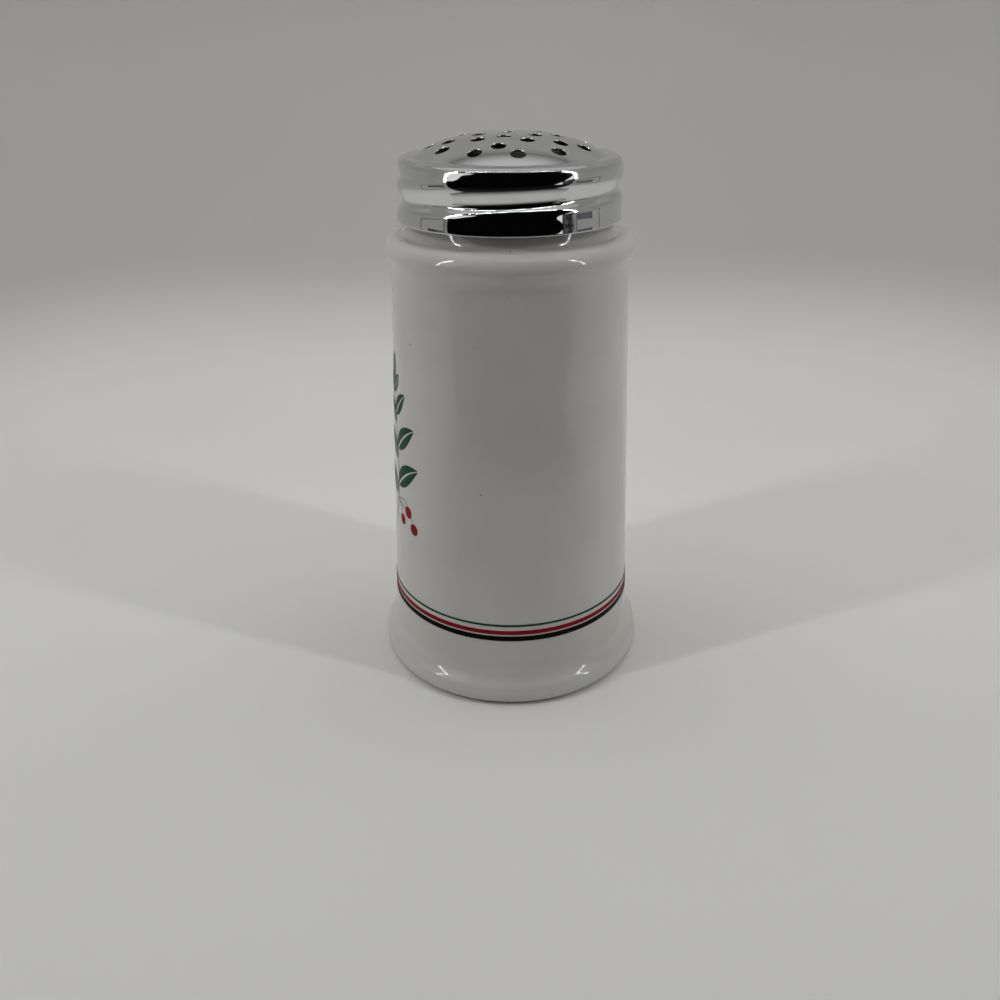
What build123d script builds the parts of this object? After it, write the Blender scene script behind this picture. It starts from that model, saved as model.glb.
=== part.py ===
from build123d import *
import os
from math import atan2, ceil, cos, degrees, pi, radians, sin, sqrt, tan

# A ceramic parmesan shaker: a footed jar with a screw neck, a perforated screw cap and a sealing ring.
# Millimetres and degrees, +Z up. The origin is on the jar's axis, on the surface that it stands on.
# The front is -Y, and angles go round from +X towards +Y.

# Jar: foot and wall
foot_flare = 4.1             # the foot stands out this far past the foot of the wall
foot_roll_radius = 4.5       # round under the foot, down to the table
foot_toe_radius = 4.0        # tighter round of the foot above its widest ring
foot_height = 12.0           # table to the start of the straight wall
wall_foot_radius = 39.25
wall_top_radius = 34.27
wall_height = 114.5          # the straight, tapered stretch
wall_thickness = 4.2

# Jar: lip, shoulder and neck
lip_overhang = 1.55          # the lip stands out this far past the top of the wall
lip_rise = 7.2               # top of the straight wall to the lip's widest ring
lip_under_radius = 4.0
lip_over_radius = 2.0
shoulder_slope = 36.0
neck_inset = 5.37            # the neck stands this far inside the top of the wall
neck_fillet = 3.0
neck_height = 14.0           # straight neck, from the shoulder's fillet to the rim
neck_wall = 4.2
rim_rounding = 1.1

# Jar: inside and underside
floor_thickness = 6.0
floor_corner_radius = 9.0
foot_recess = 2.2            # hollow under the floor
foot_ring_width = 4.5        # unglazed ring that the jar stands on
recess_draft = 1.5           # how far the hollow narrows from the ring to the floor

# Colour bands, from the bottom up
band_thickness = 0.12
black_band_rise = 9.6        # start of the straight wall to the black band
black_band_width = 2.0
black_to_red_gap = 0.45
red_band_width = 1.45
red_to_green_gap = 1.5
green_band_width = 0.75

# Screw thread, rolled into the cap and raised on the neck
thread_lead = 6.9
thread_height = 1.5
thread_clearance = 0.45      # radial room between the neck and the cap
groove_start_angle = 100.0
groove_start_rise = 3.0      # skirt edge to the lower end of the rolled groove
groove_end_drop = 3.8        # cap ledge to the upper end of the rolled groove
groove_share = 0.47          # half of the groove's width, as a share of the lead
bead_share = 0.34            # half of the bead's width, as a share of the lead
bead_lift_share = 0.40       # the bead runs this share of the lead above the groove
bead_lead_in = 40.0          # the bead starts this angle before the groove
bead_rim_gap = 2.9           # rim to the upper end of the bead
thread_runout = 70.0         # angle over which a thread fades out at either end
bead_root = 0.25             # depth to which the bead's foot sinks into the neck

# Cap and its sealing ring
cap_sheet = 0.65
skirt_gap = 2.75             # shoulder to the skirt's edge
cap_roll_radius = 4.0        # rounded shoulder of the cap
cap_roll_lean = 8.0          # angle at which the rounded shoulder leaves the skirt
ledge_width = 1.1            # flat ring between the dome and the rounded shoulder
dome_rise = 5.55
liner_thickness = 1.2
liner_width = 2.1

# Perforations: a middle hole and four rings
hole_diameter = 3.9
hole_margin = 4.9            # edge of the dome to the outer ring of holes
hole_ring_pitch = 4.23
hole_angle = 263.5           # a line of holes points this way
hole_ring_counts = (12, 6, 6, 6)
hole_ring_turns = (15.0, 0.0, 30.0, 0.0)

# Heights and radii that follow from these
foot_radius = wall_foot_radius + foot_flare
wall_top = foot_height + wall_height
wall_draft = atan2(wall_foot_radius - wall_top_radius, wall_height)
lip_radius = wall_top_radius + lip_overhang
lip_height = wall_top + lip_rise
neck_radius = wall_top_radius - neck_inset
bore_radius = neck_radius - neck_wall
cap_radius = neck_radius + thread_height + thread_clearance + cap_sheet

slope = radians(shoulder_slope)
shoulder_start = Vector(
    lip_radius - lip_over_radius + lip_over_radius * sin(slope),
    lip_height + lip_over_radius * cos(slope),
)
neck_base = shoulder_start.Y + (
    neck_fillet - (neck_radius + neck_fillet - shoulder_start.X) * sin(slope)
) / cos(slope)
rim_height = neck_base + neck_height

skirt_edge = shoulder_start.Y + (shoulder_start.X - cap_radius) * tan(slope) + skirt_gap
ledge_height = rim_height + liner_thickness + cap_sheet
cap_lean = radians(cap_roll_lean)
cap_roll_centre = Vector(
    cap_radius - cap_roll_radius * cos(cap_lean),
    ledge_height - cap_roll_radius,
)
dome_radius = cap_roll_centre.X - ledge_width
dome_sphere_radius = (dome_radius**2 + dome_rise**2) / (2 * dome_rise)
dome_top = ledge_height + dome_rise


def wall_radius(height):
    """Outer radius of the tapered wall at a height."""
    return wall_foot_radius - (height - foot_height) * tan(wall_draft)


def arc(centre, radius, start, end):
    """An arc about a centre, from one angle to another, in radians."""
    return CenterArc((centre.X, centre.Y), radius, degrees(start), degrees(end - start))


def cove(round_centre, round_radius, wall_point):
    """Hollow arc that leaves the tapered wall at a point and meets a round without a corner.

    Gives the arc's centre and radius, and the angle on the round where the two meet.
    """
    outward = Vector(cos(wall_draft), sin(wall_draft))
    offset = wall_point - round_centre
    radius = (round_radius**2 - offset.dot(offset)) / (2 * (offset.dot(outward) - round_radius))
    centre = wall_point + outward * radius
    meeting = atan2(centre.Y - round_centre.Y, centre.X - round_centre.X)
    return centre, radius, meeting


def turned(lines):
    """Solid of revolution about Z from a closed outline of radius and height."""
    return revolve(Plane.XZ * make_face(lines), Axis.Z)


def helix_height(angle, start_angle, start_height):
    return start_height + thread_lead * (angle - start_angle) / 360


def runout(angle, start_angle, end_angle):
    """Depth of a thread at an angle: 1 along it, easing to 0 at both ends."""
    room = min(angle - start_angle, end_angle - angle) / thread_runout
    part = max(0.0, min(1.0, room))
    return part**3 * (10 - 15 * part + 6 * part**2)


def thread_form(angle, height, half_width, start_angle, start_height, end_angle):
    """How far a thread reaches at a place on the wall, from 0 to 1."""
    reach = 0.0
    turn_angle = angle
    while turn_angle <= end_angle:
        offset = height - helix_height(turn_angle, start_angle, start_height)
        if turn_angle >= start_angle and abs(offset) < half_width:
            flank = (1 - (offset / half_width) ** 2) ** 3
            reach = max(reach, flank * runout(turn_angle, start_angle, end_angle))
        turn_angle += 360
    return reach


def threaded_core(plain_radius, reach, half_width, start_angle, start_height, end_height, low, high):
    """Round core between two heights whose side carries one helical thread.

    A positive reach raises the thread above the plain radius and a negative one sinks it.
    """
    points_round = 36
    level_step = 1.0
    end_angle = start_angle + 360 * (end_height - start_height) / thread_lead
    levels = ceil((high - low) / level_step)
    sections = []
    for level in range(levels + 1):
        height = low + (high - low) * level / levels
        points = []
        for step in range(points_round):
            angle = 360 * step / points_round
            form = thread_form(angle, height, half_width, start_angle, start_height, end_angle)
            radius = plain_radius + reach * form
            points.append((radius * cos(radians(angle)), radius * sin(radians(angle)), height))
        sections.append(Wire([Spline(points, periodic=True)]))
    return Solid.make_loft(sections)


groove_start = skirt_edge + groove_start_rise
groove_end = ledge_height - groove_end_drop


def jar_outside():
    """The jar without its hollows: foot, wall, lip, shoulder and neck."""
    roll_centre = Vector(foot_radius - foot_roll_radius, foot_roll_radius)
    toe_centre = Vector(foot_radius - foot_toe_radius, foot_roll_radius)
    wall_start = Vector(wall_foot_radius, foot_height)
    foot_cove, foot_cove_radius, foot_meeting = cove(toe_centre, foot_toe_radius, wall_start)

    under_centre = Vector(lip_radius - lip_under_radius, lip_height)
    over_centre = Vector(lip_radius - lip_over_radius, lip_height)
    wall_end = Vector(wall_top_radius, wall_top)
    lip_cove, lip_cove_radius, lip_meeting = cove(under_centre, lip_under_radius, wall_end)

    fillet_centre = Vector(neck_radius + neck_fillet, neck_base)
    fillet_start = fillet_centre - Vector(sin(slope), cos(slope)) * neck_fillet
    rim_centre = Vector(neck_radius - rim_rounding, rim_height - rim_rounding)

    outline = [
        Line((0, 0), (roll_centre.X, 0)),
        arc(roll_centre, foot_roll_radius, -pi / 2, 0),
        arc(toe_centre, foot_toe_radius, 0, foot_meeting),
        arc(foot_cove, foot_cove_radius, pi + foot_meeting, pi + wall_draft),
        Line((wall_start.X, wall_start.Y), (wall_end.X, wall_end.Y)),
        arc(lip_cove, lip_cove_radius, pi + wall_draft, pi + lip_meeting),
        arc(under_centre, lip_under_radius, lip_meeting, 0),
        arc(over_centre, lip_over_radius, 0, pi / 2 - slope),
        Line((shoulder_start.X, shoulder_start.Y), (fillet_start.X, fillet_start.Y)),
        arc(fillet_centre, neck_fillet, 3 * pi / 2 - slope, pi),
        Line((neck_radius, neck_base), (neck_radius, rim_centre.Y)),
        arc(rim_centre, rim_rounding, 0, pi / 2),
        Line((rim_centre.X, rim_height), (0, rim_height)),
        Line((0, rim_height), (0, 0)),
    ]
    return turned(outline)


def jar_inside():
    """The jar's hollow, from its floor through the neck and past the rim."""
    floor = foot_recess + floor_thickness
    corner_top = floor + floor_corner_radius
    corner_radius = wall_radius(corner_top) - wall_thickness
    shoulder_low = lip_height
    shoulder_radius = wall_radius(shoulder_low) - wall_thickness
    rim_outer = bore_radius + rim_rounding
    rim_centre = Vector(rim_outer, rim_height - rim_rounding)
    above = rim_height + rim_rounding
    outline = [
        Line((0, floor), (corner_radius - floor_corner_radius, floor)),
        Spline(
            (corner_radius - floor_corner_radius, floor),
            (corner_radius, corner_top),
            tangents=[(1, 0), (-sin(wall_draft), cos(wall_draft))],
        ),
        Line((corner_radius, corner_top), (shoulder_radius, shoulder_low)),
        Spline(
            (shoulder_radius, shoulder_low),
            (bore_radius, neck_base),
            tangents=[(-sin(wall_draft), cos(wall_draft)), (0, 1)],
        ),
        Line((bore_radius, neck_base), (bore_radius, rim_centre.Y)),
        arc(rim_centre, rim_rounding, pi, pi / 2),
        Line((rim_outer, rim_height), (rim_outer, above)),
        Line((rim_outer, above), (0, above)),
        Line((0, above), (0, floor)),
    ]
    return turned(outline)


def foot_hollow():
    """The shallow hollow inside the ring that the jar stands on."""
    ring_inner = foot_radius - foot_roll_radius - foot_ring_width
    outline = Polyline(
        (0, -foot_recess),
        (ring_inner + recess_draft, -foot_recess),
        (ring_inner - recess_draft, foot_recess),
        (0, foot_recess),
        close=True,
    )
    return turned(outline)


def jar_body():
    bead_angle = groove_start_angle - bead_lead_in
    bead_start = (
        helix_height(bead_angle, groove_start_angle, groove_start) + bead_lift_share * thread_lead
    )
    bead = threaded_core(
        plain_radius=neck_radius - bead_root,
        reach=thread_height + bead_root,
        half_width=bead_share * thread_lead,
        start_angle=bead_angle,
        start_height=bead_start,
        end_height=rim_height - bead_rim_gap,
        low=neck_base,
        high=rim_height - rim_rounding,
    )
    return jar_outside() + bead - jar_inside() - foot_hollow()


def colour_band(low, width):
    """A thin ring of colour that lies on the tapered wall."""
    high = low + width
    outline = Polyline(
        (wall_radius(low), low),
        (wall_radius(low) + band_thickness, low),
        (wall_radius(high) + band_thickness, high),
        (wall_radius(high), high),
        close=True,
    )
    return turned(outline)


def cap_form(inset):
    """Solid form of the cap, with its skin moved inwards by an inset. The inside runs past the skirt's edge.

    The threaded core gives the skirt, and the turned form, which leans out past it, gives what is above.
    """
    low = skirt_edge - inset
    ledge = ledge_height - inset
    roll_radius = cap_roll_radius - inset
    roll_start = cap_roll_centre + Vector(cos(cap_lean), sin(cap_lean)) * roll_radius
    side_low = roll_start + Vector(tan(cap_lean), -1) * (roll_start.Y - low)
    sphere_radius = dome_sphere_radius - inset
    sphere_centre = Vector(0, dome_top - dome_sphere_radius)
    dome_edge = sqrt(sphere_radius**2 - (ledge - sphere_centre.Y) ** 2)
    dome_end = atan2(ledge - sphere_centre.Y, dome_edge)
    outline = [
        Line((0, low), (side_low.X, low)),
        Line((side_low.X, low), (roll_start.X, roll_start.Y)),
        arc(cap_roll_centre, roll_radius, cap_lean, pi / 2),
        Line((cap_roll_centre.X, ledge), (dome_edge, ledge)),
        arc(sphere_centre, sphere_radius, dome_end, pi / 2),
        Line((0, dome_top - inset), (0, low)),
    ]
    core = threaded_core(
        plain_radius=cap_radius - inset,
        reach=-thread_height,
        half_width=groove_share * thread_lead,
        start_angle=groove_start_angle,
        start_height=groove_start,
        end_height=groove_end,
        low=skirt_edge - thread_lead / 2,
        high=dome_top + cap_sheet,
    )
    return turned(outline) & core


def perforations():
    """Round punches for the middle hole and the rings of holes."""
    outer_ring = dome_radius - hole_margin
    places = [(0.0, 0.0)]
    for ring, (count, turn) in enumerate(zip(hole_ring_counts, hole_ring_turns)):
        radius = outer_ring - ring * hole_ring_pitch
        for step in range(count):
            angle = radians(hole_angle + turn + 360 * step / count)
            places.append((radius * cos(angle), radius * sin(angle)))
    punch_low = ledge_height - cap_sheet
    punch_height = dome_top + cap_sheet - punch_low
    punch = Solid.make_cylinder(hole_diameter / 2, punch_height)
    return [Pos(x, y, punch_low) * punch for x, y in places]


def shaker_cap():
    return cap_form(0.0) - [cap_form(cap_sheet), *perforations()]


def cap_liner():
    """Flat ring between the jar's rim and the underside of the cap's ledge."""
    outer = cap_roll_centre.X
    ring = Circle(outer) - Circle(outer - liner_width)
    return Pos(0, 0, rim_height) * extrude(ring, liner_thickness)


black_low = foot_height + black_band_rise
red_low = black_low + black_band_width + black_to_red_gap
green_low = red_low + red_band_width + red_to_green_gap

pieces = {
    "jar_body": jar_body(),
    "black_band": colour_band(black_low, black_band_width),
    "red_band": colour_band(red_low, red_band_width),
    "green_band": colour_band(green_low, green_band_width),
    "cap_liner": cap_liner(),
    "shaker_cap": shaker_cap(),
}

os.makedirs("parts", exist_ok=True)
for name, piece in pieces.items():
    export_step(piece, f"parts/{name}.step")
    print(name, "volume", round(piece.volume, 1), "mm3")
print("rim", round(rim_height, 2), "skirt edge", round(skirt_edge, 2), "dome top", round(dome_top, 2))
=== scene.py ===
# %% [markdown]
# # A parmesan shaker around its CAD frame
# The real object is a glazed ceramic jar with three fired-on colour bands, closed by a chromed
# screw cap full of holes. The CAD frame fixes every size and every joint. The looks could be
# painted straight onto the CAD meshes, but a mirror finish shows every facet, so this lesson builds
# finer skins in the same place, gives them real finishes and lights them in a small studio.

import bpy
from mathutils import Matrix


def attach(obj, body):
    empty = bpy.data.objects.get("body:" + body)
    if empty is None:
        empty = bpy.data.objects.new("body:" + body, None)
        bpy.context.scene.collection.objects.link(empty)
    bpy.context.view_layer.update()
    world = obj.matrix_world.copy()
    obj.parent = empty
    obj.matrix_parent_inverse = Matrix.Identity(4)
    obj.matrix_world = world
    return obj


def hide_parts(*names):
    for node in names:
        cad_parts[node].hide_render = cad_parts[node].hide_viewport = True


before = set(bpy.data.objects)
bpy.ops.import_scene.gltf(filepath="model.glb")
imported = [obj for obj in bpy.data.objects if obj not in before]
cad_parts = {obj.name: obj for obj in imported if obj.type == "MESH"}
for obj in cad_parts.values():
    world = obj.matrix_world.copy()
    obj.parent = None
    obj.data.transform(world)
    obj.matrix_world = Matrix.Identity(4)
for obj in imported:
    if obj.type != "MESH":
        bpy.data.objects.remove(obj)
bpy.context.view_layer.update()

# %% Tools and units
import math

import bmesh
import bpy
import numpy as np
from mathutils import Matrix, Vector
from mathutils.geometry import delaunay_2d_cdt

MM = 0.001
scene = bpy.context.scene
scene.view_settings.view_transform = "Standard"

# %% [markdown]
# ## Camera
# The shaker is looked at from a little above its cap, close up, so the jar narrows towards its
# foot. A camera can be aimed by eye, but here its place and lens come from the ellipses of the
# bands and the cap's edge, which settle the height, the distance and the tilt together.

# %% Camera
camera_place = Vector((-3.48, -260.1, 185.4)) * MM
camera_dip = math.radians(27.48)
camera_roll = math.radians(-0.53)
frame_side = 1000
focal_pixels = 890
sensor_side = 36.0

camera_data = bpy.data.cameras.new("camera")
camera_data.sensor_width = sensor_side
camera_data.lens = sensor_side * focal_pixels / frame_side
camera_data.clip_start = 0.01
camera = bpy.data.objects.new("camera", camera_data)
scene.collection.objects.link(camera)
camera.matrix_world = (
    Matrix.Translation(camera_place)
    @ Matrix.Rotation(math.pi / 2 - camera_dip, 4, "X")
    @ Matrix.Rotation(camera_roll, 4, "Z")
)
scene.camera = camera


def pixel(point):
    """Where a point in mm lands on the square frame."""
    seen = camera.matrix_world.inverted() @ (Vector(point) * MM)
    scale = focal_pixels / -seen.z
    return frame_side / 2 + scale * seen.x, frame_side / 2 - scale * seen.y


print("jar's foot at pixel", [round(v, 1) for v in pixel((0, 0, 0))])

# %% [markdown]
# ## Shader maths as plain expressions
# Every finish below is a small network of nodes. Nodes can be added and linked one by one, but the
# sums then vanish in bookkeeping. This class wraps one socket, so `1 - mask` adds its Math node
# by itself, and every other kind of node comes from one method.


# %% One socket with arithmetic
class Wire:
    """A socket of a node tree. Arithmetic on wires adds Math nodes to the tree."""

    def __init__(self, tree, socket=None):
        self.tree = tree
        self.socket = socket

    def node(self, kind, settings=None, sockets=None, out=0):
        """Add a node: its settings first, then the values or links of its sockets."""
        made = self.tree.nodes.new(kind)
        for name, value in (settings or {}).items():
            setattr(made, name, value)
        for key, value in (sockets or {}).items():
            if isinstance(value, Wire):
                self.tree.links.new(value.socket, made.inputs[key])
            else:
                made.inputs[key].default_value = value
        return Wire(self.tree, made.outputs[out])

    def tap(self, out):
        """Another output of the node that this wire leaves."""
        return Wire(self.tree, self.socket.node.outputs[out])

    def sum_node(self, operation, first, second):
        return self.node("ShaderNodeMath", {"operation": operation}, {0: first, 1: second})

    def __add__(self, other):
        return self.sum_node("ADD", self, other)

    __radd__ = __add__

    def __sub__(self, other):
        return self.sum_node("SUBTRACT", self, other)

    def __rsub__(self, other):
        return self.sum_node("SUBTRACT", other, self)

    def __mul__(self, other):
        return self.sum_node("MULTIPLY", self, other)

    __rmul__ = __mul__


def fade(wire, low, high):
    """0 below low, 1 above high and a soft step between; low may be the larger."""
    return wire.node(
        "ShaderNodeMapRange", {"interpolation_type": "SMOOTHSTEP"}, {0: wire, 1: low, 2: high}
    )


def tint(mask, plain, marked):
    """A colour that goes from plain to marked as the mask goes from 0 to 1."""
    return mask.node("ShaderNodeMix", {"data_type": "RGBA"}, {0: mask, 6: plain, 7: marked}, out=2)


print("shader helpers:", Wire.__name__, fade.__name__, tint.__name__)

# %% [markdown]
# A finish starts as one Principled shader. Numbers that are the same all over go straight onto its
# sockets, and only what changes over the surface is linked. Patterns are measured in millimetres
# of the piece itself, so they stay put when the cap turns.


# %% Starting a finish
def new_finish(name, constants):
    """A material, its shader and a wire that carries places on the piece in mm."""
    material = bpy.data.materials.new(name)
    material.use_nodes = True
    tree = material.node_tree
    shader = tree.nodes["Principled BSDF"]
    for socket, value in constants.items():
        shader.inputs[socket].default_value = value
    place = Wire(tree).node("ShaderNodeTexCoord", out=3)
    millimetres = place.node(
        "ShaderNodeVectorMath", {"operation": "SCALE"}, {0: place, "Scale": 1 / MM}
    )
    return material, shader, millimetres


def feed(shader, socket, wire):
    wire.tree.links.new(wire.socket, shader.inputs[socket])


def cloud(place, size, detail=2.0, rough=0.5):
    """Soft noise from 0 to 1 whose blotches are about this many mm across."""
    return place.node(
        "ShaderNodeTexNoise",
        None,
        {"Vector": place, "Scale": 1 / size, "Detail": detail, "Roughness": rough},
    )


def bump(height, depth, strength=1.0):
    """A normal bent by a height pattern; depth is in mm."""
    return height.node(
        "ShaderNodeBump", None, {"Height": height, "Distance": depth * MM, "Strength": strength}
    )


print("finish helpers:", new_finish.__name__, feed.__name__, cloud.__name__, bump.__name__)

# %% [markdown]
# ## The studio
# The shaker stands in a small white tent, open at the front. Chrome looks like what is around it,
# so the tent matters as much as the metal: pale walls give the bright sides, and a dark card round
# the open front gives the black bands. Flat panels would show their corners in the metal, so the
# walls run round in one sweep and rise from the floor in a cove.


# %% Skins over rows of points
def skin(rows, ring=True):
    """Vertices and faces of a skin over rows of points; a row of one point closes it."""
    points, starts, faces = [], [], []
    for row in rows:
        starts.append(len(points))
        points.extend(map(tuple, np.asarray(row, float).reshape(-1, 3)))
    starts.append(len(points))
    for low in range(len(rows) - 1):
        a, b, c = starts[low : low + 3]
        count = max(b - a, c - b)
        for step in range(count if ring else count - 1):
            after = (step + 1) % count
            lower = [a + step % (b - a), a + after % (b - a)]
            upper = [b + after % (c - b), b + step % (c - b)]
            faces.append(list(dict.fromkeys(lower + upper)))
    return points, faces


def new_mesh(name, points, faces, finish):
    mesh = bpy.data.meshes.new(name)
    mesh.from_pydata([Vector(p) * MM for p in points], [], faces)
    mesh.shade_smooth()
    mesh.materials.append(finish)
    made = bpy.data.objects.new(name, mesh)
    scene.collection.objects.link(made)
    return made


def stage_sheet(name, rows, finish, ring=False):
    """A sheet over rows of points that belongs to the studio, not to the shaker."""
    made = new_mesh(name, *skin(rows, ring), finish)
    return made


print("mesh helpers:", skin.__name__, new_mesh.__name__, stage_sheet.__name__)

# %% [markdown]
# Walls and floor are matt paper. One flat colour would look like a drawing. A real sweep looks
# palest on the table and greyer up the wall because less light reaches there, so here the colour
# fades with height and towards the open front, with faint clouds in it: that greying is painted
# shade. The same finish, with a glow of its own, makes the ceiling; that glow is painted light.

# %% Studio paper
wall_shade_fade, high_shade_fade, front_shade_fade = (0.0, 60.0), (150.0, 330.0), (-170.0, -300.0)
glow_near, glow_far = (-150.0, 240.0), (430.0, 240.0)
cloth_clouds, cloth_shade = 90.0, (0.985, 0.985, 0.985, 1)


def cloth(name, low, mid, high, glow=0.0):
    """Paper or cloth, faintly uneven: one colour on the floor, one on the wall, one up high.
    Darker colours up the wall and beyond the front are painted shade; a glow is painted light.
    """
    fixed = {"Roughness": 0.9, "Specular IOR Level": 0.1, "Emission Strength": 1.0}
    material, shader, place = new_finish(name, fixed)
    sides = place.node("ShaderNodeSeparateXYZ", None, {0: place})
    depth, height = sides.tap(1), sides.tap(2)
    # each fade paints shade: greyer up the wall, greyer still high up and beyond the open front
    sheet = tint(fade(height, *wall_shade_fade), (*low, 1), (*mid, 1))
    sheet = tint(fade(height, *high_shade_fade), sheet, (*high, 1))
    sheet = tint(fade(depth, *front_shade_fade), sheet, (*high, 1))
    blend = {"data_type": "RGBA", "blend_type": "MULTIPLY"}
    darker = sheet.node("ShaderNodeMix", blend, {0: 1.0, 6: sheet, 7: cloth_shade}, out=2)
    feed(shader, "Base Color", tint(fade(cloud(place, cloth_clouds), 0.2, 0.8), darker, sheet))
    lit = fade(depth, *glow_near) * fade(depth, *glow_far)
    feed(shader, "Emission Color", tint(lit, (0, 0, 0, 1), (glow, glow, glow, 1)))
    return material


# pale floor, then the grey of the wall and of high up: that grey is painted shade
paper = cloth("studio_paper", (0.875, 0.872, 0.848), (0.555, 0.55, 0.54), (0.46, 0.456, 0.448))
print("studio paper:", len(paper.node_tree.nodes), "nodes")

# %% Tent
tent_half, tent_front, tent_back, tent_top = 440.0, -220.0, 420.0, 650.0
tent_corner, tent_cove, cove_power = 270.0, 250.0, 1.25


def tent_plan(inset):
    """The tent's wall seen from above, moved inwards, from the left front round to the right."""
    turn = np.linspace(math.pi, math.pi / 2, 16)
    round_x = -tent_half + tent_corner + (tent_corner - inset) * np.cos(turn)
    round_y = tent_back - tent_corner + (tent_corner - inset) * np.sin(turn)
    left = np.column_stack([np.append(-tent_half + inset, round_x), np.append(tent_front, round_y)])
    return np.vstack([left, left[::-1] * (-1, 1)])


tent_rows = []
for turn in np.linspace(0, math.pi / 2, 24):
    plan = tent_plan(tent_cove * (1 - math.sin(turn)))
    height = tent_cove * (1 - math.cos(turn)) ** cove_power
    tent_rows.append(np.column_stack([plan, np.full(len(plan), height)]))
tent_rows.append(np.column_stack([tent_plan(0), np.full(len(plan), tent_top)]))
tent = stage_sheet("tent", tent_rows, paper)
print("tent walls:", len(tent.data.polygons), "faces")

# %% [markdown]
# The floor reaches well past the tent, so every view has something to stand on. The open front
# would leave other views with a black background. A wall there would shut out the dark that the
# chrome needs, so a curved paper sheet is hung behind the camera that only the camera sees.

# %% Floor, ceiling and front sheet
floor_reach, floor_drop = 2500.0, 0.05


def flat_panel(name, x, y, height, finish):
    rows = [[(across, depth, height) for across in x] for depth in y]
    return stage_sheet(name, rows, finish)


flat_panel("floor", (-floor_reach, floor_reach), (-floor_reach, floor_reach), -floor_drop, paper)
# The ceiling's glow is painted light for the strips' light on it: none at the front edge, brightest
# a little behind the jar, fading again towards the back.
ceiling_grey, ceiling_glow, ceiling_front = (0.54, 0.535, 0.525), 0.345, -150.0
ceiling = cloth("lit_ceiling", ceiling_grey, ceiling_grey, ceiling_grey, ceiling_glow)
flat_panel("ceiling", (-tent_half, tent_half), (ceiling_front, tent_back), tent_top, ceiling)

sheet_near, sheet_round, sheet_half, sheet_top, sheet_rise = -250.0, 170.0, 1800.0, 1200.0, 0.3
sheet_look = {"Base Color": (0.5, 0.497, 0.485, 1), "Roughness": 0.9, "Emission Strength": 1.0}
sheet_look["Emission Color"] = (0.16, 0.159, 0.155, 1)
sheet_paper = new_finish("front_paper", sheet_look)[0]
front_rows = []
for turn in np.linspace(0, math.pi / 2, 16):
    away, height = sheet_round * math.sin(turn), sheet_round * (1 - math.cos(turn)) + sheet_rise
    front_rows.append([(side * sheet_half, sheet_near - away, height) for side in (-1, 1)])
front_rows.append([(side * sheet_half, sheet_near - sheet_round, sheet_top) for side in (-1, 1)])
front_sheet = stage_sheet("front_sheet", front_rows, sheet_paper)
front_sheet.visible_diffuse = front_sheet.visible_glossy = front_sheet.visible_shadow = False
print("front sheet:", len(front_sheet.data.polygons), "faces")

# %% [markdown]
# The dark card is part of a large ball round the open front, and white flaps trim its sides. Flat
# boards would do, but their corners would show as kinks in the metal. Cards only show in
# reflections: the camera looks past them, as a photographer's cards are out of the frame. They
# light and shade nothing: the black card is a painted dark reflection, and the flaps glow white as
# painted bright reflections.

# %% Dark card and white flaps
card_radius, card_height, card_side = 900.0, 150.0, 63.5
card_low, card_top, card_columns = -9.5, 72.0, 20


def card_edge(heights, bearings):
    """An edge of a card: its bearing in degrees at a climb in degrees."""
    return lambda climb: float(np.interp(climb, heights, bearings))


def card_patch(starts, ends, low, top):
    """Rows of a patch of the ball, from one edge to another; both may change with height."""
    rows = []
    for climb in np.linspace(low, top, 24):
        swing = np.radians(np.linspace(starts(climb), ends(climb), card_columns))
        level = card_radius * math.cos(math.radians(climb))
        height = np.full(card_columns, card_height + card_radius * math.sin(math.radians(climb)))
        rows.append(np.column_stack([level * np.sin(swing), -level * np.cos(swing), height]))
    return rows


def card(name, rows, finish, ring=False):
    """A sheet that only shows in reflections."""
    made = stage_sheet(name, rows, finish, ring)
    made.visible_camera = made.visible_diffuse = made.visible_shadow = False
    return made


mottled_side, flap_low, flap_top, flap_right_top = 51.0, 5.0, 40.0, 11.0
left_end, right_end = card_edge([0], [-card_side]), card_edge([0], [card_side])
left_edge = card_edge([4, flap_low, 30], [-card_side, -54, -41])
right_edge = card_edge([card_low, 12], [43, card_side])
flap_edge = card_edge([0, 4], [mottled_side, card_side])

# the black card is a painted dark reflection, the glowing white flaps are painted bright
# reflections
black = (0.005, 0.005, 0.006)
dark_reflection_cloth = cloth("dark_reflection_cloth", black, black, black)
dark_rows = card_patch(left_edge, right_edge, card_low, card_top)
dark_reflection_card = card("dark_reflection_card", dark_rows, dark_reflection_cloth)
glowing_reflection_look = {"Emission Color": (0.7, 0.7, 0.69, 1), "Emission Strength": 1.0}
glowing_reflection_card = new_finish("glowing_reflection_card", glowing_reflection_look)[0]
card("flap_left", card_patch(left_end, left_edge, flap_low, flap_top), glowing_reflection_card)
card("flap_right", card_patch(right_edge, flap_edge, card_low, flap_right_top), glowing_reflection_card)
print("dark card:", len(dark_reflection_card.data.polygons), "faces, with two white flaps")

# %% [markdown]
# A plain black front looks empty in chrome. Mottled cards that glow in faint blots and thin dark
# frames give the metal small things to show, and a dark apron lies on the table. All of them are
# painted reflections, seen only in the metal and the glaze. An apron with a hard edge would draw a
# line round the jar, so it fades out towards the jar.

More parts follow.
